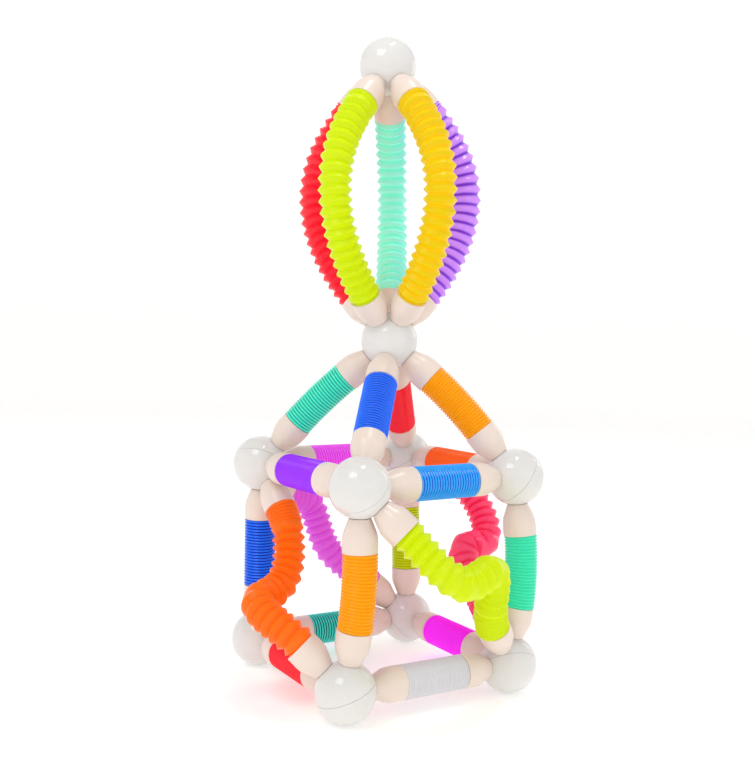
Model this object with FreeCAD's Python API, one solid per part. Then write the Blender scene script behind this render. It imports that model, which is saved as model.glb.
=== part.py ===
"""Magnetic ball-and-pop-tube toy, built as a lantern: a cube cage, a pyramid roof and a five-rib bulb.

Ten steel-cored balls are bridged by twenty-five corrugated pop tubes. Each tube has a magnetic cap at
both ends, whose hollow seat sits on a ball. Millimetres and degrees, +Z up, floor at Z = 0, and the
origin under the middle of the cage.
"""
import FreeCAD, Part
import math
import os

Vector = FreeCAD.Vector
UP = Vector(0, 0, 1)

# ---- the balls ------------------------------------------------------------------------------------
ball_diameter = 33.0
shell_wall = 2.0
shell_lap = 1.2            # how far the tongue of one half reaches into the other
shell_lap_wall = 0.9       # thickness of that tongue
lap_gap = 0.08             # clearance round the tongue
seam_chamfer = 0.25        # the fine groove where two halves meet
core_wall = 1.0            # pressed steel cups inside the shells
core_gap = 0.2             # clearance between a cup and its shell

# ---- the end caps ---------------------------------------------------------------------------------
tube_diameter = 19.0       # caps and ridges share one outside diameter
seat_gap = 0.2             # air between a cap's hollow seat and the ball
cap_rim_radius = 5.8       # where the seat ends on the ball
cap_length = 17.1          # the ball's surface to the cap's open end
cap_cone_length = 4.9      # the ball's surface to the top of the cap's cone
cap_cone_drop = 1.28       # the cone ends this much inside the full radius
cap_full_length = 11.0     # the ball's surface to where the rounded shoulder reaches the full radius
cap_edge_chamfer = 0.25
cap_wall = 1.15            # round the socket
socket_depth = 8.5         # how deep the bellows' cuff goes in
magnet_diameter = 10.0
magnet_thickness = 5.0
magnet_cover = 1.5         # plastic between the ball and the magnet
magnet_gap = 0.1

# ---- the bellows ----------------------------------------------------------------------------------
fold_count = 23            # convolutions in every tube
bellows_wall = 0.6
cuff_gap = 0.1             # clearance between the cuff and the socket
cuff_wall = 0.8
closed_fold_depth = 0.9    # ridge to valley of a convolution that is pushed shut
open_fold_depth = 2.3      # and of one that is popped open
open_pitch_wanted = 5.6    # length of one that is popped open
face_gap = 0.1             # air between a cap's end and the first ridge
bend_squeeze = 0.8         # how near a bend's inside may bring two rings, as a share of touching

# ---- the layout -----------------------------------------------------------------------------------
short_pitch = 108.0        # ball centre to ball centre along a closed tube
base_twist = -3.3          # the base ring is turned this much against the upper ring
bulb_pitch = 159.0         # apex ball centre to top ball centre
bulb_lean = 2.2            # the bulb leans
bulb_lean_heading = -105.0
bulb_low_tilt = 40.5       # ribs leave the apex ball at this angle to the bulb's axis
bulb_high_tilt = 44.0      # and the top ball at this one
bulb_belly = 44.8          # widest reach of a rib's centreline from the axis
bulb_belly_share = 0.64    # where that is, as a share of the bulb's pitch

ball_radius = ball_diameter / 2
seat_radius = ball_radius + seat_gap
cap_reach = ball_radius + cap_length
cap_shoulder = ball_radius + cap_cone_length
cap_full = ball_radius + cap_full_length
ridge_radius = tube_diameter / 2
socket_radius = ridge_radius - cap_wall
closed_root_radius = ridge_radius - closed_fold_depth
open_root_radius = ridge_radius - open_fold_depth
closed_run = short_pitch - 2 * (cap_reach + face_gap)
closed_pitch = closed_run / fold_count
cuff_radius = socket_radius - cuff_gap

CORNERS = {"front": -45.0, "right": 45.0, "back": 135.0, "left": 225.0}


def heading(degrees, radius=1.0):
    """A horizontal vector that points to a compass heading, counted from +X towards +Y."""
    turn = math.radians(degrees)
    return Vector(radius * math.cos(turn), radius * math.sin(turn), 0)


def unit(vector):
    result = Vector(vector)
    result.normalize()
    return result


def across(vector, axis):
    """The part of a vector that is square to an axis, made one long."""
    return unit(vector - axis * vector.dot(axis))


# ---- where the ball centres are -------------------------------------------------------------------
ring_radius = short_pitch / math.sqrt(2)
post_offset = 2 * ring_radius * math.sin(math.radians(abs(base_twist) / 2))
post_rise = math.sqrt(short_pitch ** 2 - post_offset ** 2)
ring_height = ball_radius + post_rise
apex_height = ring_height + short_pitch / math.sqrt(2)

balls = {}
for corner, angle in CORNERS.items():
    balls["base_" + corner] = heading(angle + base_twist, ring_radius) + UP * ball_radius
    balls["ring_" + corner] = heading(angle, ring_radius) + UP * ring_height
balls["apex"] = UP * apex_height
lean = math.radians(bulb_lean)
bulb_axis = UP * math.cos(lean) + heading(bulb_lean_heading, math.sin(lean))
balls["top"] = balls["apex"] + bulb_axis * bulb_pitch

# The seam of each ball faces its own way: the heading and the tilt from upright of its upper half.
seams = {
    "base_front": (244, 21), "base_right": (160, 38), "base_back": (20, 50), "base_left": (300, 65),
    "ring_front": (291, 45), "ring_right": (258, 55), "ring_back": (250, 35), "ring_left": (126, 38),
    "apex": (160, 75), "top": (145, 70),
}


def placed(shape, origin, direction):
    """A copy of a shape made along +Z from the origin, moved to a point and turned to a direction."""
    copy = shape.copy()
    copy.Placement = FreeCAD.Placement(origin, FreeCAD.Rotation(UP, direction))
    return copy


def revolved(edges):
    """The solid made by turning a closed outline in the XZ plane about Z."""
    face = Part.Face(Part.Wire(Part.__sortEdges__(edges)))
    return face.revolve(Vector(0, 0, 0), UP, 360)


def ring_point(radius, height):
    return Vector(radius, 0, height)


def polyline(points):
    return [Part.makeLine(a, b) for a, b in zip(points, points[1:])]


def on_sphere(radius, height):
    """The point of a sphere's outline at a height."""
    return ring_point(math.sqrt(radius ** 2 - height ** 2), height)


def arc_on_sphere(radius, low, high):
    """The stretch of a sphere's outline between two heights."""
    middle = (low + high) / 2
    return Part.Arc(on_sphere(radius, low), on_sphere(radius, middle), on_sphere(radius, high)).toShape()


# ---- one ball -------------------------------------------------------------------------------------
shell_inner = ball_radius - shell_wall
core_outer = shell_inner - core_gap
lap_radius = shell_inner + shell_lap_wall


def lower_shell():
    """The half with the tongue that stands up inside the seam."""
    foot = -lap_gap / 2
    edges = [arc_on_sphere(ball_radius, -ball_radius, -seam_chamfer)]
    edges += polyline([
        on_sphere(ball_radius, -seam_chamfer),
        ring_point(ball_radius - seam_chamfer, foot),
        ring_point(lap_radius, foot),
        ring_point(lap_radius, shell_lap),
        ring_point(shell_inner, shell_lap),
        ring_point(shell_inner, 0),
    ])
    edges.append(arc_on_sphere(shell_inner, -shell_inner, 0))
    edges += polyline([ring_point(0, -shell_inner), ring_point(0, -ball_radius)])
    return revolved(edges)


def upper_shell():
    """The half with the rebate that takes the tongue."""
    foot = lap_gap / 2
    rebate_radius = lap_radius + lap_gap
    rebate_top = shell_lap + lap_gap
    edges = [arc_on_sphere(ball_radius, seam_chamfer, ball_radius)]
    edges += polyline([
        on_sphere(ball_radius, seam_chamfer),
        ring_point(ball_radius - seam_chamfer, foot),
        ring_point(rebate_radius, foot),
        ring_point(rebate_radius, rebate_top),
        on_sphere(shell_inner, rebate_top),
    ])
    edges.append(arc_on_sphere(shell_inner, rebate_top, shell_inner))
    edges += polyline([ring_point(0, shell_inner), ring_point(0, ball_radius)])
    return revolved(edges)


def core_cup():
    """One pressed steel cup; two of them, mouth to mouth, make the core that the magnets pull."""
    inner = core_outer - core_wall
    edges = [arc_on_sphere(core_outer, 0, core_outer), arc_on_sphere(inner, 0, inner)]
    edges += polyline([ring_point(inner, 0), ring_point(core_outer, 0)])
    edges += polyline([ring_point(0, inner), ring_point(0, core_outer)])
    return revolved(edges)


# ---- one end cap ----------------------------------------------------------------------------------
magnet_front = seat_radius + magnet_cover
socket_floor = cap_reach - socket_depth
pocket_radius = magnet_diameter / 2 + magnet_gap


def end_cap():
    """The moulded cap, made along +Z from the ball's centre: seat, cone, barrel, socket and pocket."""
    rim = on_sphere(seat_radius, math.sqrt(seat_radius ** 2 - cap_rim_radius ** 2))
    lip = rim + Vector(cap_edge_chamfer, 0, cap_edge_chamfer)
    shoulder = ring_point(ridge_radius - cap_cone_drop, cap_shoulder)
    full = ring_point(ridge_radius, cap_full)
    rise = cap_full - cap_shoulder
    round_radius = (cap_cone_drop ** 2 + rise ** 2) / (2 * cap_cone_drop)
    half_turn = math.asin(rise / round_radius) / 2
    bulge = full - ring_point(round_radius * (1 - math.cos(half_turn)), round_radius * math.sin(half_turn))
    outline = polyline([rim, lip, shoulder])
    outline.append(Part.Arc(shoulder, bulge, full).toShape())
    outline += polyline([
        full,
        ring_point(ridge_radius, cap_reach - cap_edge_chamfer),
        ring_point(ridge_radius - cap_edge_chamfer, cap_reach),
        ring_point(socket_radius, cap_reach),
        ring_point(socket_radius, socket_floor),
        ring_point(pocket_radius, socket_floor),
        ring_point(pocket_radius, magnet_front),
        ring_point(0, magnet_front),
        ring_point(0, seat_radius),
    ])
    outline.append(arc_on_sphere(seat_radius, rim.z, seat_radius))
    return revolved(outline)


def magnet():
    """The disc magnet, glued against the front of its pocket."""
    disc = Part.makeCylinder(magnet_diameter / 2, magnet_thickness, ring_point(0, magnet_front))
    return disc.makeChamfer(cap_edge_chamfer, disc.Edges[:1] + disc.Edges[2:])


# ---- centrelines ----------------------------------------------------------------------------------
class Run:
    """A tube's centreline: straight through both caps, and straight or bent between them."""

    def __init__(self, start, end, outward=None, tilts=None, slews=(0, 0), bends=()):
        self.start = balls[start]
        self.end = balls[end]
        chord = self.end - self.start
        along = unit(chord)
        self.straight = tilts is None
        self.leave = along
        self.arrive = along
        if self.straight:
            self.edge = Part.makeLine(self.cap_end(self.start, along), self.cap_end(self.end, -along))
            return
        out = across(outward, along)
        side = out.cross(along)
        self.leave = exit_direction(along, out, side, tilts[0], slews[0])
        self.arrive = -exit_direction(-along, out, side, tilts[1], slews[1])
        points = [self.cap_end(self.start, self.leave)]
        for share, reach, sideways in bends:
            points.append(self.start + chord * share + out * reach + side * sideways)
        points.append(self.cap_end(self.end, -self.arrive))
        # Through two bends the end tangents keep their own length, so that the curve doesn't swing wide.
        curve = Part.BSplineCurve()
        swing = len(bends) < 2
        curve.interpolate(Points=points, InitialTangent=self.leave, FinalTangent=self.arrive, Scale=swing)
        self.edge = curve.toShape()

    @staticmethod
    def cap_end(centre, direction):
        """Where the first ridge begins: just past the cap's open end."""
        return centre + direction * (cap_reach + face_gap)

    def station(self, distance):
        """The point and direction at a distance along the bellows; beyond an end it runs on straight."""
        if distance <= 0:
            return self.edge.firstVertex().Point + self.leave * distance, self.leave
        if distance >= self.edge.Length:
            return self.edge.lastVertex().Point + self.arrive * (distance - self.edge.Length), self.arrive
        at = self.edge.getParameterByLength(distance)
        return self.edge.valueAt(at), unit(self.edge.tangentAt(at))


def exit_direction(along, out, side, tilt, slew):
    """The direction in which a tube leaves its ball: slewed within the face, then tilted out of it."""
    slew = math.radians(slew)
    tilt = math.radians(tilt)
    in_face = along * math.cos(slew) + side * math.sin(slew)
    return in_face * math.cos(tilt) + out * math.sin(tilt)


# ---- bellows --------------------------------------------------------------------------------------
def fold_profile(length, closed_last, closed_count):
    """(distance, outer radius, inner radius) of every ring: cuff, convolutions, cuff.

    A tube has fold_count convolutions. As many are popped open as its length asks for, unless
    closed_count says how many stay closed. The closed ones are at its far end where closed_last
    is true and otherwise at its near end.
    """
    if closed_count is None:
        open_count = round((length - fold_count * closed_pitch) / (open_pitch_wanted - closed_pitch))
        closed_count = fold_count - max(0, min(fold_count, open_count))
    open_count = fold_count - closed_count
    open_pitch = (length - closed_count * closed_pitch) / open_count if open_count else 0
    closed_length = length / fold_count if open_count == 0 else closed_pitch
    folds = [(open_pitch, open_root_radius)] * open_count
    closed = [(closed_length, closed_root_radius)] * closed_count
    folds = folds + closed if closed_last else closed + folds
    cuff_inner = cuff_radius - cuff_wall
    cuff_length = socket_depth - cuff_gap
    rings = [(-cuff_length, cuff_radius, cuff_inner), (-face_gap, cuff_radius, cuff_inner)]
    reached = 0
    root = folds[0][1]
    for pitch, next_root in folds:
        shared = max(root, next_root)
        rings.append((reached, shared, shared - bellows_wall))
        rings.append((reached + pitch / 2, ridge_radius, ridge_radius - bellows_wall))
        reached += pitch
        root = next_root
    rings.append((length, root, root - bellows_wall))
    rings += [(length + face_gap, cuff_radius, cuff_inner), (length + cuff_length, cuff_radius, cuff_inner)]
    return rings


def turned_bellows(run, rings):
    """A straight bellows: its whole wall is one outline turned about the centreline."""
    outside = [ring_point(outer, distance) for distance, outer, inner in rings]
    inside = [ring_point(inner, distance) for distance, outer, inner in reversed(rings)]
    loop = outside + inside + outside[:1]
    wall = Part.Face(Part.makePolygon(loop)).revolve(Vector(0, 0, 0), UP, 360)
    return placed(wall, run.edge.firstVertex().Point, run.leave)


def eased(directions, distances):
    """Ring directions relaxed until no two neighbouring rings cross inside a tight bend.

    Where two rings turn more than their spacing allows, both turn back towards their middle.
    The three rings at either end are in the caps, so they stay as they are.
    """
    last = len(directions) - 4
    for sweep in range(40):
        for first in range(2, last + 1):
            allowed = bend_squeeze * (distances[first + 1] - distances[first]) / ridge_radius
            pair = directions[first:first + 2]
            turn = pair[0].getAngle(pair[1])
            if turn > allowed:
                middle = unit(pair[0] + pair[1])
                pair = [unit(middle + (side - middle) * (allowed / turn)) for side in pair]
                if first > 2:
                    directions[first] = pair[0]
                if first < last:
                    directions[first + 1] = pair[1]
    return directions


def bent_bellows(run, rings):
    """A bent bellows: rings set square to the centreline, skinned outside and inside."""
    stations = [run.station(ring[0]) for ring in rings]
    directions = eased([direction for point, direction in stations], [ring[0] for ring in rings])
    frames = []
    sideways = across(Vector(1, 2, 3), run.leave)
    for (point, tangent), direction in zip(stations, directions):
        sideways = across(sideways, direction)
        frames.append(FreeCAD.Placement(point, FreeCAD.Rotation(sideways, Vector(0, 0, 0), direction, "ZXY")))
    skins = []
    for column in (1, 2):
        hoops = []
        for ring, frame in zip(rings, frames):
            hoop = Part.Wire(Part.makeCircle(ring[column]))
            hoop.Placement = frame
            hoops.append(hoop)
        skins.append(hoops)
    faces = []
    for hoops, inward in ((skins[0], False), (skins[1], True)):
        for near, far in zip(hoops, hoops[1:]):
            strip = Part.makeRuledSurface(near.Edges[0], far.Edges[0])
            faces.append(strip.reversed() if inward else strip)
    for end in (0, -1):
        faces.append(Part.Face([skins[0][end], skins[1][end].reversed()]))
    shell = Part.makeShell(faces)
    shell.sewShape()
    wall = Part.Solid(shell)
    wall.fix(0.001, 0.001, 0.001)
    return wall


def bellows(run, closed_last=True, closed_count=None):
    rings = fold_profile(run.edge.Length, closed_last, closed_count)
    return turned_bellows(run, rings) if run.straight else bent_bellows(run, rings)


# ---- the twenty-five tubes ------------------------------------------------------------------------
RING_ORDER = ["front", "right", "back", "left"]
FACE_NAMES = {
    ("front", "right"): "front_right", ("right", "back"): "back_right",
    ("back", "left"): "back_left", ("left", "front"): "front_left",
}

tubes = {}
for corner in RING_ORDER:
    tubes[corner + "_post"] = Run("ring_" + corner, "base_" + corner)
    tubes["roof_" + corner] = Run("apex", "ring_" + corner)
for (first, second), face in FACE_NAMES.items():
    tubes["ring_" + face] = Run("ring_" + first, "ring_" + second)
    tubes["base_" + face] = Run("base_" + first, "base_" + second)

# Four of the short tubes stand a little bowed: the way they bow, and the tilt at both of their ends.
BOWED = {
    "front_post": ("ring_front", "base_front", heading(35), 4.5),
    "right_post": ("ring_right", "base_right", heading(50), 7.0),
    "roof_left": ("apex", "ring_left", UP, 4.0),
    "roof_right": ("apex", "ring_right", UP, 5.0),
}
for name, (start, end, bow, tilt) in BOWED.items():
    tubes[name] = Run(start, end, bow, (tilt, tilt))

# Braces cross the cage's four sides. Tilts lean out of the side and slews turn within it, at the upper
# and the lower ball; each bend is a share of the way down, a reach outwards and a shift sideways.
BRACES = {
    "brace_front_left": ("ring_left", "base_front", -90, (-3, 33), (0, 7), [(0.52, 11, -11), (0.58, 25, -9)]),
    "brace_front_right": ("ring_front", "base_right", 0, (31, 16), (-6, 7), [(0.44, 33, 0), (0.52, 28, 14)]),
    "brace_back_right": ("ring_back", "base_right", 90, (39, 4), (-16, -2), [(0.48, 21, -3), (0.49, 14, -2)]),
    "brace_back_left": ("ring_left", "base_back", 180, (26, 17), (-4, 0), [(0.36, 25, -11), (0.55, 22, 0)]),
}
for name, (upper, lower, side_heading, tilts, slews, bends) in BRACES.items():
    tubes[name] = Run(upper, lower, heading(side_heading), tilts, slews, bends)

# The bulb's ribs share one profile and differ in the way they face.
RIBS = {"rib_front_left": -73, "rib_front_right": 1, "rib_right": 72, "rib_back": 142, "rib_left": 213}
for name, rib_heading in RIBS.items():
    belly = [(bulb_belly_share, bulb_belly, 0)]
    tubes[name] = Run("apex", "top", heading(rib_heading), (bulb_low_tilt, bulb_high_tilt), (0, 0), belly)

# Most tubes keep their shut convolutions at their far end, and these at their near end. Most keep as few
# shut as their length allows, and these keep more.
SHUT_AT_START = ["rib_back", "brace_front_left"]
SHUT_COUNTS = {"brace_front_right": 8}

# ---- build and export -----------------------------------------------------------------------------
upper_half = upper_shell()
lower_half = lower_shell()
cup = core_cup()
cap = end_cap()
disc = magnet()


def export(node, solids):
    shape = solids[0] if len(solids) == 1 else Part.makeCompound(solids)
    shape.exportStep("parts/" + node + ".step")


def seam_direction(ball):
    seam_heading, tilt = seams[ball]
    tilt = math.radians(tilt)
    return heading(seam_heading, math.sin(tilt)) + UP * math.cos(tilt)


os.makedirs("parts", exist_ok=True)
cage_balls = [name for name in balls if name not in ("apex", "top")]
for group, members in {"cage": cage_balls, "apex": ["apex"], "top": ["top"]}.items():
    facing = [(balls[name], seam_direction(name)) for name in members]
    plural = "s" if len(members) > 1 else ""
    export(group + "_ball_upper_shell" + plural, [placed(upper_half, *where) for where in facing])
    export(group + "_ball_lower_shell" + plural, [placed(lower_half, *where) for where in facing])
    cups = [placed(cup, *where) for where in facing]
    cups += [placed(cup, centre, -direction) for centre, direction in facing]
    export(group + "_ball_steel_core" + plural, cups)

for name, run in tubes.items():
    solid = bellows(run, name not in SHUT_AT_START, SHUT_COUNTS.get(name))
    export(name + "_bellows", [solid])
    ends = [(run.start, run.leave), (run.end, -run.arrive)]
    caps = [placed(cap, *end) for end in ends]
    export(name + "_end_caps", caps + [placed(disc, *end) for end in ends])
    print(f"{name:18s} bellows {run.edge.Length:6.1f} mm, {solid.Volume / 1000:5.2f} cm3, {solid.isValid()}")
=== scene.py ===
# %% [markdown]
# # A lantern of pop tubes and steel-cored balls
#
# Pop tubes are short lengths of corrugated polyethylene. Pull one and its folds click open, push it and
# they click shut. Here each tube ends in two moulded caps with a magnet inside, and ten white balls with
# a steel core hold twenty-five of them together: a cube cage, a pyramid roof and a bulb of five ribs.
#
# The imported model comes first. It is the frame: everything below is placed from it, and nothing of it moves.

# %% Load the frame
import bpy
import math
import numpy as np
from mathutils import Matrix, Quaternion, Vector


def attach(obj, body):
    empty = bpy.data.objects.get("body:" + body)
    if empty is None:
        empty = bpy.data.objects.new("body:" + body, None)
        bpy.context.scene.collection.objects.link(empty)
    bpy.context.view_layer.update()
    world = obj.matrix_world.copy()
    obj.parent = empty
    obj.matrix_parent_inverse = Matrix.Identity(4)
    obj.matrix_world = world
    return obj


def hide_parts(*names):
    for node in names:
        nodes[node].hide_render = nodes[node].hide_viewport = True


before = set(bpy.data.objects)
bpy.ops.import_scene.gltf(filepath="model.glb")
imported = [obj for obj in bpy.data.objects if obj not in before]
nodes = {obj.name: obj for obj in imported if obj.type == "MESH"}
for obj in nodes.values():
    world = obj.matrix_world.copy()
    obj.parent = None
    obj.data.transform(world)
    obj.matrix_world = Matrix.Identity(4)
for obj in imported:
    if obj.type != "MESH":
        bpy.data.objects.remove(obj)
MM = 0.001
bpy.context.view_layer.update()
print("nodes:", len(nodes))

# %% [markdown]
# ## The camera
#
# A toy of this size is looked at from about arm's length, with the eye only a little above its middle.
# Placing the camera by a compass heading, a height above the horizon and a distance from a point on the
# object is easier to reason about than three bare coordinates. The little roll keeps the toy's own lean.

# %% Camera
LOOK_AT = Vector((-3.55, -5.13, 177.7)) * MM
HEADING, RISE, ROLL = math.radians(55.3), math.radians(2.45), math.radians(1.75)
CAMERA_DISTANCE = 598 * MM
LENS_MM = 48.1
NEAREST, FARTHEST = 0.05, 20      # metres that the camera sees between

towards_camera = Vector((
    math.sin(HEADING) * math.cos(RISE),
    -math.cos(HEADING) * math.cos(RISE),
    math.sin(RISE),
))
bpy.ops.object.camera_add(location=LOOK_AT + towards_camera * CAMERA_DISTANCE)
camera = bpy.context.object
camera.name = "camera"
camera.rotation_mode = "QUATERNION"
camera.rotation_quaternion = (-towards_camera).to_track_quat("-Z", "Y") @ Quaternion((0, 0, 1), ROLL)
camera.data.lens = LENS_MM
camera.data.clip_start, camera.data.clip_end = NEAREST, FARTHEST
bpy.context.scene.camera = camera
print("camera at", [round(c, 3) for c in camera.location])

# %% [markdown]
# ## Floor and backdrop
#
# A bowl of pale card is the plain studio stage: its floor is flat, and its rim curves up far away on every
# side into a plain wall, so no horizon line shows from any angle. A disc is added, its edge is pushed out
# ring by ring and lifted, the last ring is pulled straight up, and smooth shading hides the rings.

# %% Stage
STAGE_SIDES, STAGE_RADIUS = 96, 3.0      # the flat disc, in metres
RIM_STEPS, RIM_TURN, RIM_RADIUS = 12, math.radians(85), 1.5      # the curve up to the wall
WALL_RISE = 0.7


def look_only_at(thing):
    """Selects one object and nothing else, as every operator below expects."""
    bpy.ops.object.select_all(action="DESELECT")
    thing.select_set(True)
    bpy.context.view_layer.objects.active = thing


bpy.ops.object.select_all(action="DESELECT")
bpy.ops.mesh.primitive_circle_add(
    vertices=STAGE_SIDES, radius=STAGE_RADIUS, fill_type="NGON", location=(0, 0, 0))
stage = bpy.context.object
stage.name = "stage_floor"
bpy.ops.object.mode_set(mode="EDIT")
bpy.ops.mesh.select_all(action="SELECT")
bpy.ops.mesh.select_mode(type="EDGE")
bpy.ops.mesh.region_to_loop()
for step in range(1, RIM_STEPS + 1):
    turn = RIM_TURN * step / RIM_STEPS
    last_turn = turn - RIM_TURN / RIM_STEPS
    before = STAGE_RADIUS + RIM_RADIUS * math.sin(last_turn)
    after = STAGE_RADIUS + RIM_RADIUS * math.sin(turn)
    lift = RIM_RADIUS * (math.cos(last_turn) - math.cos(turn))
    bpy.ops.mesh.extrude_edges_move(TRANSFORM_OT_translate={"value": (0, 0, lift)})
    bpy.ops.transform.resize(value=(after / before, after / before, 1), center_override=(0, 0, 0))
bpy.ops.mesh.extrude_edges_move(TRANSFORM_OT_translate={"value": (0, 0, WALL_RISE)})
bpy.ops.object.mode_set(mode="OBJECT")
bpy.ops.object.shade_smooth()
print("stage faces:", len(stage.data.polygons))

# %% [markdown]
# ## Light
#
# Glossy white balls show the lights themselves. A small panel straight above draws a crisp bright window near
# the top of each ball, and a strip behind on the right draws a thin line down the edge. A big soft key panel
# high on the left and a weak fill on the right shape the rest without hard shadows. The white world fills the
# shadows, and the Standard view keeps the toy's strong colours as they are.

# %% Studio light
def panel(name, direction, distance, size, power):
    """A soft light panel that faces the toy."""
    place = LOOK_AT + direction.normalized() * distance
    bpy.ops.object.light_add(type="AREA", location=place)
    light = bpy.context.object
    light.name = name
    light.rotation_mode = "QUATERNION"
    light.rotation_quaternion = (LOOK_AT - place).to_track_quat("-Z", "Y")
    light.data.shape = "RECTANGLE"
    light.data.size, light.data.size_y = size
    light.data.energy = power


UP = Vector((0, 0, 1))
to_the_right = UP.cross(towards_camera).normalized()
# Each panel's direction from the toy, its distance and its two sides in metres, and its power in watts.
PANELS = {
    "key_light": (towards_camera - to_the_right * 0.7 + UP * 1.3, 1.1, (0.5, 0.4), 2.3),
    "fill_light": (towards_camera + to_the_right * 1.1 + UP * 0.3, 1.3, (0.9, 0.9), 0.6),
    "window_light": (UP + towards_camera * 0.08 + to_the_right * 0.15, 0.9, (0.24, 0.1), 1.6),
    "edge_light": (to_the_right * 0.73 + UP * 0.33 - towards_camera * 0.6, 1.1, (0.08, 0.4), 0.35),
    "back_light": (-towards_camera + UP * 0.8, 1.4, (1.0, 1.0), 1.6),
}
for name, (direction, distance, size, power) in PANELS.items():
    panel(name, direction, distance, size, power)
print("panels:", ", ".join(PANELS))

# %% White world
WORLD_STRENGTH = 0.61
world = bpy.data.worlds.new("white_studio")
bpy.context.scene.world = world
world.use_nodes = True
background = world.node_tree.nodes["Background"]
background.inputs["Color"].default_value = (1, 1, 1, 1)
background.inputs["Strength"].default_value = WORLD_STRENGTH
bpy.context.scene.view_settings.view_transform = "Standard"
print("world strength", WORLD_STRENGTH)

# %% [markdown]
# ## Materials
#
# Each finish starts from what it really is. The balls are ABS from a polished mould: hard, glossy, with the
# faintest waviness. The caps are ABS from a satin mould, in a warm cream. The tubes are blow-moulded
# polyethylene: waxy and softly translucent, with a parting line on both sides where the two halves of the
# mould met. Their ridges are paler where the plastic is stretched thin, and their colours also carry painted
# light: a painted highlight on the ridges, painted shade in the valleys, and a painted glow of their own
# colour.
# The blues and the dark teals are clear and glossy, with valleys painted much darker, so every ridge shows as
# a bright line, and most others are milky and soft. The steel cores are hidden in the balls, and are drawn as
# what they are: cups pressed from sheet.

# %% Colours and nodes
# Sockets of a Mix node that mixes colours. They share their names with others, so they go by number.
COLOUR_A, COLOUR_B, MIXED = 6, 7, 2
NOISE_LOW, NOISE_HIGH = 0.3, 0.7      # most of a noise's values lie between these


def linear(hex_colour):
    """An sRGB hex colour as the linear numbers that Blender's sockets hold, by the sRGB curve."""
    parts = [int(hex_colour[i:i + 2], 16) / 255 for i in (1, 3, 5)]
    return tuple(p / 12.92 if p <= 0.04045 else ((p + 0.055) / 1.055) ** 2.4 for p in parts) + (1,)


def add_node(tree, kind, settings=None, inputs=None):
    """Adds a node, sets its properties, and sets or links its inputs."""
    node = tree.nodes.new(kind)
    for name, value in (settings or {}).items():
        setattr(node, name, value)
    for name, value in (inputs or {}).items():
        if isinstance(value, bpy.types.NodeSocket):
            tree.links.new(value, node.inputs[name])
        else:
            node.inputs[name].default_value = value
    return node


def new_material(name):
    """A material with an empty node tree, and that tree."""
    material = bpy.data.materials.new(name)
    material.use_nodes = True
    material.node_tree.nodes.clear()
    return material, material.node_tree


print("a pure red becomes", linear("#FF0000"))

# %% Moulded ABS for balls and caps, pressed steel for the cores
SHADE_DRIFT, HANDLED_PATCH = 18 * MM, 9 * MM      # how far apart the patches of a shade and of a gloss are
LESS_ROUGH, MORE_ROUGH = 0.95, 1.08               # shares of the roughness, where it is least and most
ABS_IOR, METAL_IOR = 1.53, 1.5


def hard_surface(name, colour, shade, roughness, wave_length, wave_depth, metallic=0.0, ior=ABS_IOR):
    """A moulded or pressed surface: a faint drift of shade, uneven gloss and slight waves."""
    material, tree = new_material(name)
    place = add_node(tree, "ShaderNodeTexCoord").outputs["Object"]
    drift = add_node(tree, "ShaderNodeTexNoise", inputs={
        "Vector": place, "Scale": 1 / SHADE_DRIFT, "Detail": 3.0})
    tint = add_node(tree, "ShaderNodeMix", {"data_type": "RGBA"}, {"Factor": drift.outputs["Fac"]})
    tint.inputs[COLOUR_A].default_value = linear(colour)
    tint.inputs[COLOUR_B].default_value = linear(shade)
    handled = add_node(tree, "ShaderNodeTexNoise", inputs={
        "Vector": place, "Scale": 1 / HANDLED_PATCH, "Detail": 1.0})
    gloss = add_node(tree, "ShaderNodeMapRange", inputs={
        "Value": handled.outputs["Fac"], "From Min": NOISE_LOW, "From Max": NOISE_HIGH,
        "To Min": roughness * LESS_ROUGH, "To Max": roughness * MORE_ROUGH})
    wave = add_node(tree, "ShaderNodeTexNoise", inputs={"Vector": place, "Scale": 1 / wave_length})
    relief = add_node(tree, "ShaderNodeBump", inputs={
        "Height": wave.outputs["Fac"], "Distance": wave_depth, "Strength": 1.0})
    shader = add_node(tree, "ShaderNodeBsdfPrincipled", inputs={
        "Base Color": tint.outputs[MIXED], "Roughness": gloss.outputs[0],
        "Normal": relief.outputs["Normal"], "IOR": ior, "Metallic": metallic})
    add_node(tree, "ShaderNodeOutputMaterial", inputs={"Surface": shader.outputs[0]})
    return material


# A polished mould leaves the balls mirror-bright, so they show the studio's lights.
polished_white_abs = hard_surface(
    "polished white moulded ABS", "#E4E2E0", "#DFDDDA", 0.07, 6 * MM, 0.01 * MM)
# A fine spark texture in the mould leaves the caps softly shining, like an eggshell.
satin_cream_abs = hard_surface(
    "satin cream moulded ABS", "#ECDCD1", "#E7D6CA", 0.3, 5 * MM, 0.006 * MM)
# The press leaves drawn steel grey and dull-bright, with slight waves.
pressed_steel = hard_surface(
    "pressed steel sheet", "#A9ABAE", "#9A9CA0", 0.35, 3 * MM, 0.01 * MM, metallic=1.0, ior=METAL_IOR)
print(polished_white_abs.name, "/", satin_cream_abs.name, "/", pressed_steel.name)

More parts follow.
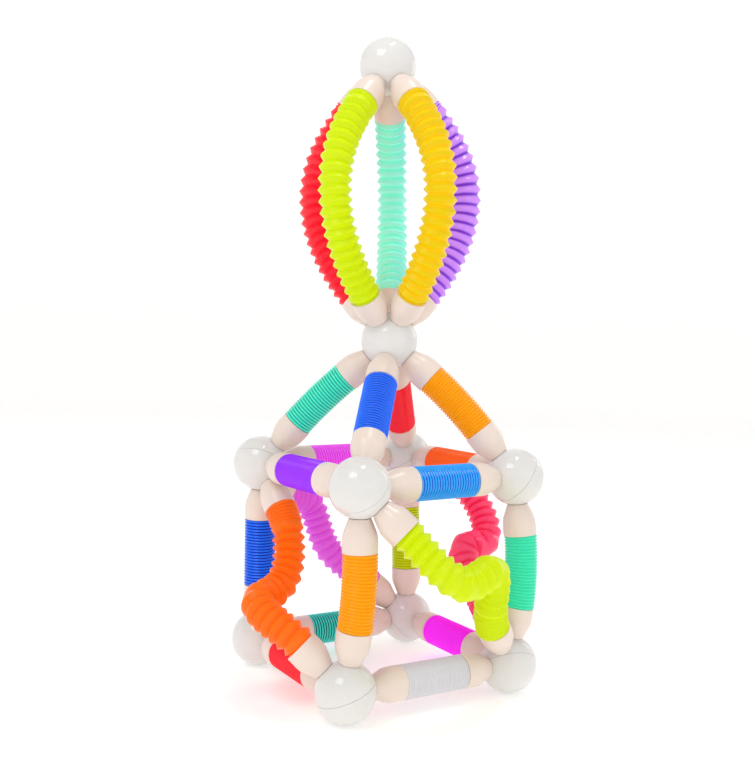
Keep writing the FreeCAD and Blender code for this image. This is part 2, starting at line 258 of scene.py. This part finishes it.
# %% Blow-moulded polyethylene for the tubes
TUBE_SPACE = "tube_space"      # where a point of a tube is while the tube is still straight, in metres
RIDGE_SHARE = "ridge_share"    # 0 in a valley, 1 on a ridge
FOLD_SLOPE = "fold_slope"      # half a fold's pitch against its depth, squared
PAINTED_GLOW = 0.3             # a painted glow: each tube emits its own colour, standing in for light from behind that comes through the thin wall
PIGMENT_CLOUD, CLOUD_SHARE = 9 * MM, 0.05         # clouds in the pigment, and how far they move its edge
VALLEY_UNTIL, RIDGE_FROM = 0.05, 0.55             # shares of the way up, between which the colour changes from the valley's painted shade to the ridge's paler colour
PARTING_CORE, PARTING_EDGE = 0.08 * MM, 0.28 * MM     # from the middle of a parting line
PARTING_HEIGHT = 10.0                             # a parting line's height against the grain's
GRAIN, GRAIN_DEPTH = 0.6 * MM, 0.006 * MM         # the real grain is finer, and wouldn't show
SHINIEST, DULLEST = 0.95, 1.1                     # shares of the roughness
POLYETHYLENE_IOR, SCATTER_DEPTH = 1.51, 1.2 * MM


def blown_polyethylene(name, ridge_colour, valley_colour, roughness, shine, milkiness):
    """Blow-moulded polyethylene: folds whose colours hold painted highlight and shade, two parting lines, a
    fine grain, light that scatters inside, and a painted glow.
    """
    material, tree = new_material(name)
    straight = add_node(tree, "ShaderNodeAttribute", {"attribute_name": TUBE_SPACE}).outputs["Vector"]
    ridge = add_node(tree, "ShaderNodeAttribute", {"attribute_name": RIDGE_SHARE}).outputs["Fac"]
    across = add_node(tree, "ShaderNodeSeparateXYZ", inputs={"Vector": straight})

    # Colour: ridges are stretched thin and paler. The two colours also hold painted light: the clear tubes get
    # a painted highlight on their ridges and painted shade in their valleys, and some milky ones a valley
    # painted a little brighter to cancel the shade of their folds.
    cloud = add_node(tree, "ShaderNodeTexNoise", inputs={
        "Vector": straight, "Scale": 1 / PIGMENT_CLOUD, "Detail": 3.0})
    cloudy = add_node(tree, "ShaderNodeMapRange", inputs={
        "Value": cloud.outputs["Fac"], "From Min": NOISE_LOW, "From Max": NOISE_HIGH,
        "To Min": -CLOUD_SHARE, "To Max": CLOUD_SHARE})
    raised = add_node(tree, "ShaderNodeMath", {"operation": "ADD"})
    tree.links.new(ridge, raised.inputs[0])
    tree.links.new(cloudy.outputs[0], raised.inputs[1])
    crisp = add_node(tree, "ShaderNodeMapRange", {"interpolation_type": "SMOOTHSTEP"}, {
        "Value": raised.outputs[0], "From Min": VALLEY_UNTIL, "From Max": RIDGE_FROM})
    body = add_node(tree, "ShaderNodeMix", {"data_type": "RGBA"}, {"Factor": crisp.outputs[0]})
    body.inputs[COLOUR_A].default_value = linear(valley_colour)
    body.inputs[COLOUR_B].default_value = linear(ridge_colour)

    # Parting lines: the two halves of the mould meet at +X and -X, where Y is nearly nothing.
    off_line = add_node(tree, "ShaderNodeMath", {"operation": "ABSOLUTE"})
    tree.links.new(across.outputs["Y"], off_line.inputs[0])
    line = add_node(tree, "ShaderNodeMapRange", {"interpolation_type": "SMOOTHSTEP"}, {
        "Value": off_line.outputs[0], "From Min": PARTING_CORE, "From Max": PARTING_EDGE,
        "To Min": 1.0, "To Max": 0.0})
    grain = add_node(tree, "ShaderNodeTexNoise", inputs={
        "Vector": straight, "Scale": 1 / GRAIN, "Detail": 2.0})
    height = add_node(tree, "ShaderNodeMath", {"operation": "MULTIPLY_ADD"})
    tree.links.new(line.outputs[0], height.inputs[0])
    height.inputs[1].default_value = PARTING_HEIGHT
    tree.links.new(grain.outputs["Fac"], height.inputs[2])
    relief = add_node(tree, "ShaderNodeBump", inputs={
        "Height": height.outputs[0], "Distance": GRAIN_DEPTH, "Strength": 1.0})

    # Gloss: it is slightly uneven, in the same clouds as the pigment.
    uneven = add_node(tree, "ShaderNodeMapRange", inputs={
        "Value": cloud.outputs["Fac"], "From Min": NOISE_LOW, "From Max": NOISE_HIGH,
        "To Min": roughness * SHINIEST, "To Max": roughness * DULLEST})
    # The tube emits its own colour as a painted glow: it stands in for light soaking through the wall, and
    # fills the shade of the folds.
    shader = add_node(tree, "ShaderNodeBsdfPrincipled", inputs={
        "Base Color": body.outputs[MIXED], "Roughness": uneven.outputs[0],
        "Normal": relief.outputs["Normal"], "IOR": POLYETHYLENE_IOR, "Specular IOR Level": shine,
        "Subsurface Weight": milkiness, "Subsurface Scale": SCATTER_DEPTH,
        "Emission Color": body.outputs[MIXED], "Emission Strength": PAINTED_GLOW})
    # Red light goes farther in the plastic than green and blue.
    shader.inputs["Subsurface Radius"].default_value = (1.0, 0.8, 0.6)
    add_node(tree, "ShaderNodeOutputMaterial", inputs={"Surface": shader.outputs[0]})
    return material


print("a tube's material reads", TUBE_SPACE, "and", RIDGE_SHARE)

# %% [markdown]
# The colours were matched to the toy one by one, and they hold painted light as well as the paler stretched
# ridges. Most of the plastics whose ridges and valleys are almost alike are milky and hide their own shading,
# and some get valleys painted a little brighter than their ridges to cancel the shade of their folds. Those
# with
# much darker valleys are clearer: their valleys are painted shade, their ridges carry a painted highlight, and
# it is mostly their ridges that light up.

# %% Tube colours
# Ridge colour with its painted highlight, valley colour with its painted shade, roughness, how strongly the
# surface mirrors, and how milky the plastic is.
TUBE_COLOURS = {
    "amber": ("#DD9205", "#EC9604", 0.25, 0.20, 0.40),
    "royal_blue": ("#1165E7", "#000296", 0.12, 0.30, 0.02),
    "mint_teal": ("#3BCDA6", "#38CEA2", 0.25, 0.20, 0.40),
    "olive_lime": ("#B3C400", "#96A800", 0.20, 0.20, 0.20),
    "violet": ("#9232E7", "#8A2CEC", 0.25, 0.20, 0.40),
    "azure": ("#2398E7", "#001AAA", 0.12, 0.35, 0.02),
    "magenta": ("#E758E7", "#D62CDE", 0.20, 0.30, 0.15),
    "vermilion": ("#E65F1A", "#F05818", 0.30, 0.20, 0.40),
    "red": ("#E32534", "#DE142C", 0.20, 0.25, 0.15),
    "pale_grey": ("#C1C0C4", "#C4C4CA", 0.30, 0.25, 0.40),
    "deep_teal": ("#2EC2B5", "#00181A", 0.12, 0.35, 0.04),
    "fuchsia": ("#E729E7", "#E820F8", 0.25, 0.20, 0.40),
    "teal": ("#44D9BC", "#068C76", 0.14, 0.35, 0.06),
    "lime": ("#BED208", "#BED204", 0.30, 0.15, 0.35),
    "mint": ("#94E3CF", "#78E8CC", 0.30, 0.15, 0.35),
    "golden": ("#D4B706", "#E0B604", 0.30, 0.15, 0.40),
    "purple": ("#BC82E7", "#7432C0", 0.22, 0.30, 0.10),
    "orange": ("#E7650D", "#EC5C0A", 0.30, 0.15, 0.05),
    "orchid": ("#D45FD2", "#CE50CE", 0.30, 0.20, 0.35),
    "coral": ("#E73F6A", "#DE1E4E", 0.18, 0.30, 0.20),
}
tube_materials = {
    slot: blown_polyethylene(slot.replace("_", " ") + " blow-moulded polyethylene", *look)
    for slot, look in TUBE_COLOURS.items()
}
print(len(tube_materials), "tube colours")

# %% [markdown]
# ## The pop tubes
#
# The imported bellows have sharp, turned folds. The real ones are blown into a mould, so their ridges and
# valleys are rounded, and where a tube bends its outside is pulled almost flat while its inside bunches up.
# That is worth modelling anew. The path of each tube is read from its packed bellows: every half fold there
# is a strip of its own, and the middles of the outer strips lie near the centreline. They also tell which
# folds are popped open, because those strips are farther apart.

# %% Loose strips of a mesh
def loose_strips(mesh):
    """Middle and area of each loose strip of a mesh. The middle of a level hoop lies on the tube's axis."""
    points = np.empty(len(mesh.vertices) * 3)
    mesh.vertices.foreach_get("co", points)
    points = points.reshape(-1, 3)
    mesh.calc_loop_triangles()
    corners = np.empty(len(mesh.loop_triangles) * 3, dtype=int)
    mesh.loop_triangles.foreach_get("vertices", corners)
    corners = corners.reshape(-1, 3)
    # Every point takes the lowest label of its neighbours until each strip has one label.
    label = np.arange(len(points))
    while True:
        spread = label.copy()
        lowest = label[corners].min(axis=1)
        for corner in corners.T:
            np.minimum.at(spread, corner, lowest)
        spread = spread[spread]
        if (spread == label).all():
            break
        label = spread
    strip_of_point = np.unique(label, return_inverse=True)[1]
    strip_of_face = strip_of_point[corners[:, 0]]
    first, second, third = (points[corner] for corner in corners.T)
    area = np.linalg.norm(np.cross(second - first, third - first), axis=1) / 2
    total = np.bincount(strip_of_face, area)
    weighted = (first + second + third) / 3 * area[:, None]
    middle = [np.bincount(strip_of_face, column) for column in weighted.T]
    return np.stack(middle, axis=1) / total[:, None], total


bellows = [name for name in sorted(nodes) if name.endswith("_bellows")]
print(bellows[0], "has", len(loose_strips(nodes[bellows[0]].data)[1]), "strips")

# %% Read each tube's path
CUFF_AREA = 410 * MM * MM                           # a cuff's strip is larger than this
FOLD_AREAS = 60 * MM * MM, 300 * MM * MM            # the strip of half a fold lies between these
OPEN_FROM = 1.4 * MM           # the two halves of a fold are farther apart than this where it is open


def read_path(node):
    """Points near a bellows' centreline from cuff to cuff, which folds are open, length and shut pitch."""
    middle, area = loose_strips(node.data)
    cuffs = middle[area > CUFF_AREA]
    # The inner wall has a strip just inside each outer one, and it is a little smaller.
    folds = (area > FOLD_AREAS[0]) & (area < FOLD_AREAS[1])
    middle, area = middle[folds], area[folds]
    apart = np.linalg.norm(middle[:, None] - middle, axis=2) + np.eye(len(middle))
    strips = middle[area > area[apart.argmin(axis=1)]]
    # From the first cuff on, the next strip is always the nearest one that is left.
    here = int(np.argmin(np.linalg.norm(strips - cuffs[0], axis=1)))
    order, left = [here], set(range(len(strips))) - {here}
    while left:
        here = min(left, key=lambda other: np.linalg.norm(strips[other] - strips[here]))
        order.append(here)
        left.remove(here)
    path = np.vstack([cuffs[0], strips[order], cuffs[-1]])
    steps = np.linalg.norm(np.diff(path, axis=0), axis=1)
    halves = steps[1:-1:2]
    shut_pitch = 2 * float(np.median(halves[halves < OPEN_FROM]))
    open_folds = tuple(bool(fold) for fold in halves > OPEN_FROM)
    return path, open_folds, float(steps.sum()), shut_pitch


readings = {name: read_path(nodes[name]) for name in bellows}
lengths_mm = [length / MM for path, open_folds, length, shut_pitch in readings.values()]
print(len(readings), "tubes,", round(min(lengths_mm), 1), "to", round(max(lengths_mm), 1), "mm long")

# %% [markdown]
# One fold runs from ridge to ridge. It is raised ring by ring from a circle, extruded up and resized, with a
# soft tip and a soft valley. Open folds are deep and wide, shut folds are shallow and close. Array modifiers
# repeat each kind, and single pieces make the two ends and the place where open folds meet shut ones.

# %% One fold
SIDES = 48
RIDGE_RADIUS = 9.5 * MM
OPEN_ROOT, SHUT_ROOT = 7.2 * MM, 8.6 * MM      # radius in the valley
# Shares of a fold's pitch, and of its depth below the ridge.
OPEN_FOLD = [(0, 0), (0.03, 0.05), (0.07, 0.14), (0.43, 0.87), (0.47, 0.96), (0.5, 1),
             (0.53, 0.96), (0.57, 0.87), (0.93, 0.14), (0.97, 0.05), (1, 0)]
SHUT_FOLD = [(0, 0), (0.10, 0.08), (0.40, 0.88), (0.5, 1), (0.60, 0.88), (0.90, 0.08), (1, 0)]


def raise_skin(name, rings):
    """A tube's skin, raised through (height, radius) rings."""
    bpy.ops.object.select_all(action="DESELECT")
    bpy.ops.mesh.primitive_circle_add(vertices=SIDES, radius=rings[0][1], location=(0, 0, 0))
    piece = bpy.context.object
    piece.name = name
    bpy.ops.object.mode_set(mode="EDIT")
    bpy.ops.mesh.select_mode(type="EDGE")
    bpy.ops.mesh.select_all(action="SELECT")
    bpy.ops.transform.translate(value=(0, 0, rings[0][0]))
    for (low, before), (high, after) in zip(rings, rings[1:]):
        bpy.ops.mesh.extrude_edges_move(TRANSFORM_OT_translate={"value": (0, 0, high - low)})
        bpy.ops.transform.resize(value=(after / before, after / before, 1), center_override=(0, 0, 0))
    bpy.ops.object.mode_set(mode="OBJECT")
    return piece


def fold_rings(shape, height, pitch, root, from_share=0.0, to_share=1.0):
    """The rings of one fold, or of a part of it, as (height, radius)."""
    return [(height + share * pitch, RIDGE_RADIUS - depth * (RIDGE_RADIUS - root))
            for share, depth in shape if from_share <= share <= to_share]


print("rings in an open fold:", len(OPEN_FOLD), "and in a shut one:", len(SHUT_FOLD))

# %% A run of like folds
SAME_PLACE = 0.01 * MM


def repeated(piece, count, pitch):
    """An array of a fold, applied."""
    array = piece.modifiers.new("folds", "ARRAY")
    array.count = count
    array.use_relative_offset = False
    array.use_constant_offset = True
    array.constant_offset_displace = (0, 0, pitch)
    array.use_merge_vertices = True
    array.merge_threshold = SAME_PLACE
    look_only_at(piece)
    bpy.ops.object.modifier_apply(modifier=array.name)
    return piece


def fold_kinds(open_folds, length, shut_pitch):
    """Shape, pitch and valley radius of each fold, so that all together they fill a length."""
    open_count = sum(open_folds)
    shut_count = len(open_folds) - open_count
    open_pitch = (length - shut_count * shut_pitch) / max(open_count, 1)
    if not open_count:
        shut_pitch = length / shut_count
    return [(OPEN_FOLD, open_pitch, OPEN_ROOT) if is_open else (SHUT_FOLD, shut_pitch, SHUT_ROOT)
            for is_open in open_folds]


print("points closer than", SAME_PLACE / MM, "mm are one")

# %% The parts of a straight tube
CUFF_RADIUS = 8.25 * MM
CUFF_HALF = 4.15 * MM          # half the length of the plain cuff that sits inside a cap
CUFF_STEP = 0.1 * MM           # from the cuff's end to the first fold
VALLEY, PAST_VALLEY = 0.5, 0.51      # shares of a fold's pitch


def skin_parts(name, kinds):
    """A straight tube in parts: two ends, runs of like folds, and a change between each two kinds."""
    base = CUFF_HALF + CUFF_STEP
    shape, pitch, root = kinds[0]
    lead = [(-CUFF_HALF, CUFF_RADIUS), (CUFF_HALF, CUFF_RADIUS)]
    parts = [raise_skin(name, lead + fold_rings(shape, base - pitch / 2, pitch, root, VALLEY, 1))]
    height = base + pitch / 2
    first = 0
    while first < len(kinds) - 1:
        shape, pitch, root = kinds[first]
        if kinds[first + 1] == kinds[first]:
            run = 1
            while first + run < len(kinds) - 1 and kinds[first + run + 1] == kinds[first]:
                run += 1
            parts.append(repeated(raise_skin(name, fold_rings(shape, height, pitch, root)), run, pitch))
            height += run * pitch
            first += run
        else:
            next_shape, next_pitch, next_root = kinds[first + 1]
            shared = max(root, next_root)
            middle = height + pitch / 2
            down = fold_rings(shape, height, pitch, shared, 0, VALLEY)
            up = fold_rings(next_shape, middle - next_pitch / 2, next_pitch, shared, PAST_VALLEY, 1)
            parts.append(raise_skin(name, down + up))
            height = middle + next_pitch / 2
            first += 1
    shape, pitch, root = kinds[-1]
    foot = height + pitch / 2 + CUFF_STEP
    tail = [(foot, CUFF_RADIUS), (foot + 2 * CUFF_HALF, CUFF_RADIUS)]
    parts.append(raise_skin(name, fold_rings(shape, height, pitch, root, 0, VALLEY) + tail))
    return parts


print("a cuff is", round(2 * CUFF_HALF / MM, 1), "mm long and", round(2 * CUFF_RADIUS / MM, 1), "mm across")

# %% A whole straight tube
def remember_straight(mesh, kinds, ends):
    """Stores each point's straight place, its share of the way to the ridge, and its fold's steepness."""
    points = np.empty(len(mesh.vertices) * 3, dtype=np.float32)
    mesh.vertices.foreach_get("co", points)
    mesh.attributes.new(TUBE_SPACE, "FLOAT_VECTOR", "POINT").data.foreach_set("vector", points)
    points = points.reshape(-1, 3)
    fold = np.clip(np.searchsorted(ends, points[:, 2]) - 1, 0, len(kinds) - 1)
    depth = np.array([RIDGE_RADIUS - root for shape, pitch, root in kinds])[fold]
    half_pitch = np.array([pitch / 2 for shape, pitch, root in kinds])[fold]
    below = RIDGE_RADIUS - np.hypot(points[:, 0], points[:, 1])
    values = {RIDGE_SHARE: np.clip(1 - below / depth, 0, 1), FOLD_SLOPE: (half_pitch / depth) ** 2}
    for attribute, value in values.items():
        data = mesh.attributes.new(attribute, "FLOAT", "POINT").data
        data.foreach_set("value", value.astype(np.float32))


def straight_tube(name, open_folds, path_length, shut_pitch):
    """A tube while it is straight, and its zone of open folds. Height 0 is the first cuff's middle."""
    base = CUFF_HALF + CUFF_STEP
    kinds = fold_kinds(open_folds, path_length - 2 * base, shut_pitch)
    parts = skin_parts(name, kinds)
    bpy.ops.object.select_all(action="DESELECT")
    for part in parts:
        part.select_set(True)
    bpy.context.view_layer.objects.active = parts[0]
    bpy.ops.object.join()
    bpy.ops.object.mode_set(mode="EDIT")
    bpy.ops.mesh.select_all(action="SELECT")
    bpy.ops.mesh.remove_doubles(threshold=SAME_PLACE)
    bpy.ops.mesh.normals_make_consistent(inside=False)
    bpy.ops.object.mode_set(mode="OBJECT")
    tube = bpy.context.object
    ends = base + np.cumsum([0] + [pitch for shape, pitch, root in kinds])
    remember_straight(tube.data, kinds, ends)
    open_places = np.flatnonzero(open_folds)
    return tube, (ends[open_places[0]], ends[open_places[-1] + 1]) if len(open_places) else None


# Tubes with the same folds and the same length share one straight model.
straight_models = {}
model_of = {}
for name, (path, open_folds, length, shut_pitch) in readings.items():
    model_of[name] = open_folds, round(length / MM, 2)
    if model_of[name] not in straight_models:
        straight_models[model_of[name]] = straight_tube("straight_tube", open_folds, length, shut_pitch)
print(len(straight_models), "straight models for", len(readings), "tubes")

# %% [markdown]
# A Curve modifier lays a straight tube along its path, which runs smoothly through the points that were read.

# %% Lay a tube along its path
CURVE_STEPS = 8      # straight pieces of the curve between two points


def guide_curve(path):
    """A smooth curve through the path's points."""
    bpy.ops.object.select_all(action="DESELECT")
    bpy.ops.curve.primitive_bezier_curve_add(location=(0, 0, 0))
    guide = bpy.context.object
    guide.data.resolution_u = CURVE_STEPS
    spline = guide.data.splines[0]
    spline.bezier_points.add(len(path) - 2)
    for point, place in zip(spline.bezier_points, path):
        point.co = place
        point.handle_left_type = point.handle_right_type = "AUTO"
    return guide


def follow(tube, path):
    """Lays a straight tube along a path."""
    guide = guide_curve(path)
    bend = tube.modifiers.new("bend", "CURVE")
    bend.object = guide
    bend.deform_axis = "POS_Z"
    look_only_at(tube)
    bpy.ops.object.modifier_apply(modifier=bend.name)
    look_only_at(guide)
    bpy.ops.object.delete()


print("a path has", len(readings[bellows[0]][0]), "points")

# %% [markdown]
# A bend pulls its folds wide open, and their neighbours in the straight stretches stay closer. So the open
# folds are slid along the tube while it is still straight: the tighter the path bends at a place, the wider
# the folds that end up there.

# %% Wider folds in a bend
SPREAD = 0.8             # how much wider the folds of a bend are, against how tight it is: matched
BEND_STEPS = 5           # steps of the path over which its bending is evened out
SLIDE_PLACES = 400       # places along the open folds where the sliding is worked out


def values_of(mesh, attribute, kind, width):
    """An attribute of a mesh's points, one row for each point."""
    found = np.empty(len(mesh.vertices) * width, dtype=np.float32)
    mesh.attributes[attribute].data.foreach_get(kind, found)
    return found.astype(float).reshape(-1, width)


def spread_bends(tube, path, zone):
    """Slides the open folds of a straight tube, so that a bend of its path takes fewer and wider ones."""
    steps = np.diff(path, axis=0)
    lengths = np.linalg.norm(steps, axis=1)
    headings = steps / lengths[:, None]
    turns = np.arccos(np.clip((headings[1:] * headings[:-1]).sum(axis=1), -1, 1))
    bending = turns / ((lengths[1:] + lengths[:-1]) / 2)
    bending = np.convolve(bending, np.ones(BEND_STEPS) / BEND_STEPS, mode="same")
    along = np.linspace(*zone, SLIDE_PLACES)
    width = 1 + SPREAD * RIDGE_RADIUS * np.interp(along, np.cumsum(lengths)[:-1], bending)
    folds_passed = np.concatenate([[0], np.cumsum((1 / width[1:] + 1 / width[:-1]) / 2)])
    places = values_of(tube.data, "position", "vector", 3)
    inside = (places[:, 2] > zone[0]) & (places[:, 2] < zone[1])
    share = (places[inside, 2] - zone[0]) / (zone[1] - zone[0])
    places[inside, 2] = np.interp(share, folds_passed / folds_passed[-1], along)
    tube.data.vertices.foreach_set("co", places.astype(np.float32).ravel())
    tube.data.update()


print("tubes with open folds:", sum(any(reading[1]) for reading in readings.values()))

# %% [markdown]
# Once a tube is bent, its folds get their character. A fold whose wall kept its length would get much
# shallower where it is pulled longer, and deeper where it is squeezed, until its walls touch. A real tube
# gives way in other places too, so only a share of that is taken, and how large it is was matched.

# %% Shallower and deeper folds
STRETCH_OVER = 5.6 * MM              # the length over which a stretch is measured
GIVE = 0.15                          # the share of a stretch that goes into the depth of a fold
SHALLOWEST, DEEPEST = 0.4, 1.1       # shares of its depth that a fold keeps at least and at most
WALLS_TOUCH = 0.4                    # a fold squeezed to less than this share of its length is crushed
CRUSHED_FLAT = 0.3                   # the share of its depth that a crushed fold keeps at least
HEIGHT_DIGITS = 6                    # the points of one ring share their height to this many digits


def relax_bends(tube):
    """Makes stretched folds shallower and squeezed folds a little deeper, or flat where they are crushed."""
    mesh = tube.data
    straight = values_of(mesh, TUBE_SPACE, "vector", 3)
    bent = values_of(mesh, "position", "vector", 3)
    height = np.round(straight[:, 2], HEIGHT_DIGITS)
    angle = np.arctan2(straight[:, 1], straight[:, 0]) / (2 * math.pi) * SIDES
    order = np.lexsort((np.round(angle).astype(int) % SIDES, height)).reshape(-1, SIDES)
    rings = bent[order]
    level = height[order[:, 0]]
    radius = np.hypot(straight[order[:, 0], 0], straight[order[:, 0], 1])[:, None]
    slope = values_of(mesh, FOLD_SLOPE, "value", 1)[order[:, 0]]
    centre = rings.mean(axis=1, keepdims=True)
    spoke = (rings - centre) / radius[..., None]
    # The stretch of the outside is taken over a longer piece, so that a fold changes as one.
    low = np.clip(np.searchsorted(level, level - STRETCH_OVER / 2), 0, len(level) - 2)
    high = np.clip(np.searchsorted(level, level + STRETCH_OVER / 2), 0, len(level) - 1)
    on_ridge = centre + spoke * RIDGE_RADIUS
    stretch = np.linalg.norm(on_ridge[high] - on_ridge[low], axis=2) / (level[high] - level[low])[:, None]
    kept = np.sqrt(np.clip(1 + GIVE * slope * (1 - stretch ** 2), SHALLOWEST ** 2, DEEPEST ** 2))
    kept *= np.clip(stretch / WALLS_TOUCH, CRUSHED_FLAT, 1)
    first_cuff = level < CUFF_HALF + CUFF_STEP
    last_cuff = level > level[-1] - 2 * CUFF_HALF - CUFF_STEP
    kept = np.where((first_cuff | last_cuff)[:, None], 1, kept)
    depth = (RIDGE_RADIUS - radius) * kept
    bent[order] = centre + spoke * (RIDGE_RADIUS - depth)[..., None]
    mesh.vertices.foreach_set("co", bent.astype(np.float32).ravel())
    # A fold that is pulled flat has no valley left, so it loses its painted valley shade and takes the ridge's
    # colour.
    share = values_of(mesh, RIDGE_SHARE, "value", 1)[order, 0]
    paler = np.empty(len(bent), dtype=np.float32)
    paler[order] = 1 - (1 - share) * kept
    mesh.attributes[RIDGE_SHARE].data.foreach_set("value", paler)
    mesh.update()


print("a stretch is measured over", round(STRETCH_OVER / MM, 1), "mm")

# %% [markdown]
# The skin gets its thin wall inwards, so that its outside stays where it is. Then each packed bellows is
# hidden, and a finished tube takes its place: it rides on the same body and gets the plastic of the bellows'
# colour.

# %% All the pop tubes
WALL = 0.6 * MM


def give_wall(tube):
    """Thickens the skin inwards to a closed wall."""
    wall = tube.modifiers.new("wall", "SOLIDIFY")
    wall.thickness = WALL
    wall.offset = -1
    look_only_at(tube)
    bpy.ops.object.modifier_apply(modifier=wall.name)
    bpy.ops.object.mode_set(mode="EDIT")
    bpy.ops.mesh.select_all(action="SELECT")
    bpy.ops.mesh.normals_make_consistent(inside=False)
    bpy.ops.object.mode_set(mode="OBJECT")
    bpy.ops.object.shade_smooth()


pop_tubes = {}
for name, (path, open_folds, length, shut_pitch) in readings.items():
    body, slot = name.removesuffix("_bellows"), nodes[name].material_slots[0].material.name
    model, zone = straight_models[model_of[name]]
    look_only_at(model)
    bpy.ops.object.duplicate()
    tube = bpy.context.object
    tube.name = body + "_pop_tube"
    if zone:
        spread_bends(tube, path, zone)
    follow(tube, path)
    relax_bends(tube)
    give_wall(tube)
    tube.data.materials.clear()
    tube.data.materials.append(tube_materials[slot])
    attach(tube, body)
    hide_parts(name)
    pop_tubes[body] = tube
bpy.ops.object.select_all(action="DESELECT")
for model, zone in straight_models.values():
    model.select_set(True)
bpy.ops.object.delete()
print(len(pop_tubes), "tubes,", sum(len(tube.data.polygons) for tube in pop_tubes.values()), "faces")

# %% [markdown]
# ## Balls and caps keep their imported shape
#
# Their shapes are right as they are, so they only get their plastics, and the hidden cores get their steel.

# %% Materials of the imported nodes
FINISHES = {
    ("_shell", "_shells"): polished_white_abs,
    ("_end_caps",): satin_cream_abs,
    ("_core", "_cores"): pressed_steel,
}
for endings, finish in FINISHES.items():
    dressed = [node for name, node in nodes.items() if name.endswith(endings)]
    for node in dressed:
        node.material_slots[0].material = finish
    print(finish.name, "on", len(dressed), "nodes")

# %% [markdown]
# ## The floor's card
#
# The stage is matt card, nearly white. It glows a little by itself, so that the toy stands against the same
# pale backdrop from every side. How much was matched.

# %% Pale floor
CARD_ROUGHNESS, CARD_GLOW = 0.9, 0.31
pale_card, card_tree = new_material("pale studio card")
card = add_node(card_tree, "ShaderNodeBsdfPrincipled", inputs={
    "Roughness": CARD_ROUGHNESS, "Emission Strength": CARD_GLOW})
card.inputs["Base Color"].default_value = linear("#F6F5F3")
card.inputs["Emission Color"].default_value = linear("#FFFFFF")
add_node(card_tree, "ShaderNodeOutputMaterial", inputs={"Surface": card.outputs[0]})
stage.data.materials.append(pale_card)
print("stage:", stage.data.materials[0].name)
